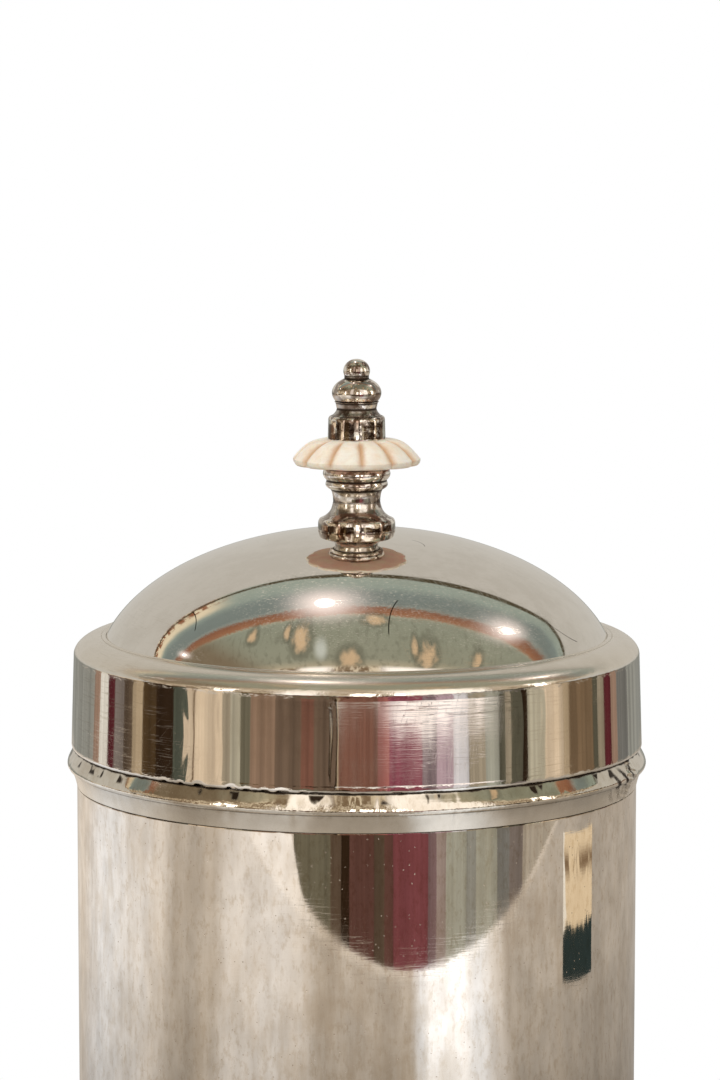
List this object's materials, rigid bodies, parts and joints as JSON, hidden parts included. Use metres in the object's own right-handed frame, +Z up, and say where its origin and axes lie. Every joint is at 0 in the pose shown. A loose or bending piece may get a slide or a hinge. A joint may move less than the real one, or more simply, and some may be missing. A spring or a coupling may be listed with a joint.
{
  "type": "storage jar",
  "caption": "Round silver-plated storage jar: a straight sheet wall with a foot ring and a rim moulding, and a slip-on domed lid with a turned finial round a bone disc.",
  "frame": {"origin": "centre of the foot ring's underside, on the surface that the jar stands on", "axes": "+Z up along the jar's axis; -Y is the front that the picture shows, and +X is its right"},
  "size_m": [0.1216, 0.1216, 0.1994],
  "materials": {
    "wall_silver": "worn silver plate, satin, with fine upright polishing streaks",
    "inside_silver": "dull silver plate",
    "moulding_silver": "worn silver plate with grime in the creases",
    "lid_silver": "polished silver plate with hairline scratches",
    "finial_silver": "polished turned silver plate, dark in the grooves",
    "carved_bone": "smooth carved bone, brown in the grooves",
    "fastening_brass": "plain dull brass"
  },
  "bodies": {
    "jar": {"body_wall": "wall_silver", "body_floor": "inside_silver", "foot_ring": "moulding_silver", "rim_moulding": "moulding_silver"},
    "lid": {"lid_band": "lid_silver", "lid_dome": "lid_silver", "finial_base": "finial_silver", "bone_disc": "carved_bone", "finial_knob": "finial_silver", "finial_stud": "fastening_brass", "finial_washer": "fastening_brass", "finial_nut": "fastening_brass"}
  },
  "joints": [
    {"name": "lid_lift", "type": "slide", "parent": "jar", "child": "lid", "axis": [0, 0, 1], "range_m": [0, 0.08]}
  ]
}
